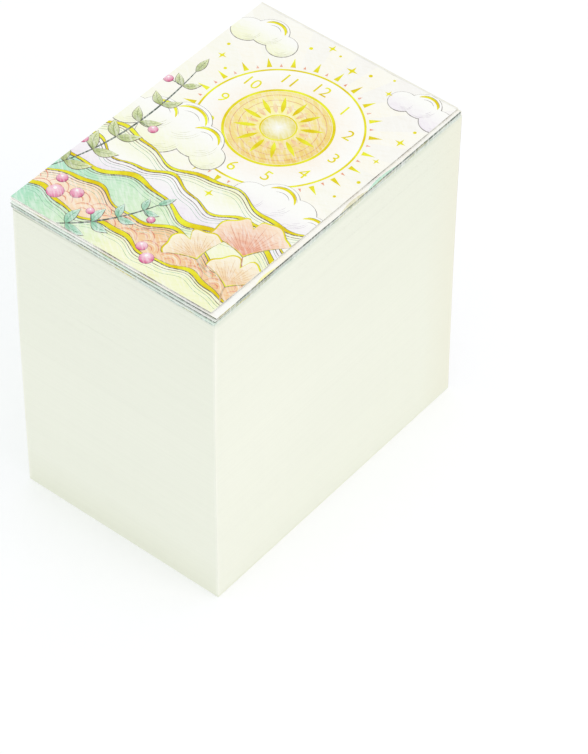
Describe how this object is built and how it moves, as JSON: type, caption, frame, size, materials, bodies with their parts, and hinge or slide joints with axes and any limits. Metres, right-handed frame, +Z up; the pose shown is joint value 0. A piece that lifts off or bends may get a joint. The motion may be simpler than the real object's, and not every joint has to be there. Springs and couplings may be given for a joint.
{
  "type": "tear-off day calendar",
  "caption": "Glue-bound block of single day sheets with printed leaves and a cover on top, each leaf turning about the glued edge and tearing off it.",
  "frame": {"origin": "middle of the footprint, on the surface that the block lies on", "axes": "X across the page, +Y towards the glued edge, +Z up through the sheets to the cover"},
  "size_m": [0.0676, 0.1004, 0.105],
  "materials": {
    "cover_card": "printed, satin",
    "printed_card": "printed, satin",
    "day_paper": "uncoated",
    "back_board": "uncoated",
    "padding_glue": "satin"
  },
  "bodies": {
    "block": {"back_card": "back_board", "spine_glue": "padding_glue", "january_sheets": "day_paper", "february_sheets": "day_paper", "march_sheets": "day_paper", "april_sheets": "day_paper", "may_sheets": "day_paper", "june_sheets": "day_paper", "july_sheets": "day_paper", "august_sheets": "day_paper", "september_sheets": "day_paper", "october_sheets": "day_paper", "november_sheets": "day_paper", "december_sheets": "day_paper"},
    "first_day_glue_line": {"first_day_sheet_glue": "padding_glue"},
    "first_day_leaf": {"first_day_sheet": "day_paper"},
    "plan_glue_line": {"plan_sheet_glue": "padding_glue"},
    "plan_leaf": {"plan_sheet": "printed_card"},
    "year_glue_line": {"year_sheet_glue": "padding_glue"},
    "year_leaf": {"year_sheet": "printed_card"},
    "title_glue_line": {"title_sheet_glue": "padding_glue"},
    "title_leaf": {"title_sheet": "printed_card"},
    "cover_glue_line": {"front_cover_glue": "padding_glue"},
    "cover_leaf": {"front_cover": "cover_card"}
  },
  "joints": [
    {"name": "first_day_turn", "type": "hinge", "parent": "block", "child": "first_day_glue_line", "pos_m": [0, 0.0502, 0.1032], "axis": [-1, 0, 0], "range_deg": [0, 25]},
    {"name": "first_day_tear", "type": "slide", "parent": "first_day_glue_line", "child": "first_day_leaf", "axis": [0, -1, 0], "range_m": [0, 0.12]},
    {"name": "plan_turn", "type": "hinge", "parent": "first_day_glue_line", "child": "plan_glue_line", "pos_m": [0, 0.0502, 0.10365], "axis": [-1, 0, 0], "range_deg": [0, 25]},
    {"name": "plan_tear", "type": "slide", "parent": "plan_glue_line", "child": "plan_leaf", "axis": [0, -1, 0], "range_m": [0, 0.12]},
    {"name": "year_turn", "type": "hinge", "parent": "plan_glue_line", "child": "year_glue_line", "pos_m": [0, 0.0502, 0.1041], "axis": [-1, 0, 0], "range_deg": [0, 25]},
    {"name": "year_tear", "type": "slide", "parent": "year_glue_line", "child": "year_leaf", "axis": [0, -1, 0], "range_m": [0, 0.12]},
    {"name": "title_turn", "type": "hinge", "parent": "year_glue_line", "child": "title_glue_line", "pos_m": [0, 0.0502, 0.10455], "axis": [-1, 0, 0], "range_deg": [0, 25]},
    {"name": "title_tear", "type": "slide", "parent": "title_glue_line", "child": "title_leaf", "axis": [0, -1, 0], "range_m": [0, 0.12]},
    {"name": "cover_turn", "type": "hinge", "parent": "title_glue_line", "child": "cover_glue_line", "pos_m": [0, 0.0502, 0.105], "axis": [-1, 0, 0], "range_deg": [0, 170]},
    {"name": "cover_tear", "type": "slide", "parent": "cover_glue_line", "child": "cover_leaf", "axis": [0, -1, 0], "range_m": [0, 0.12]}
  ]
}
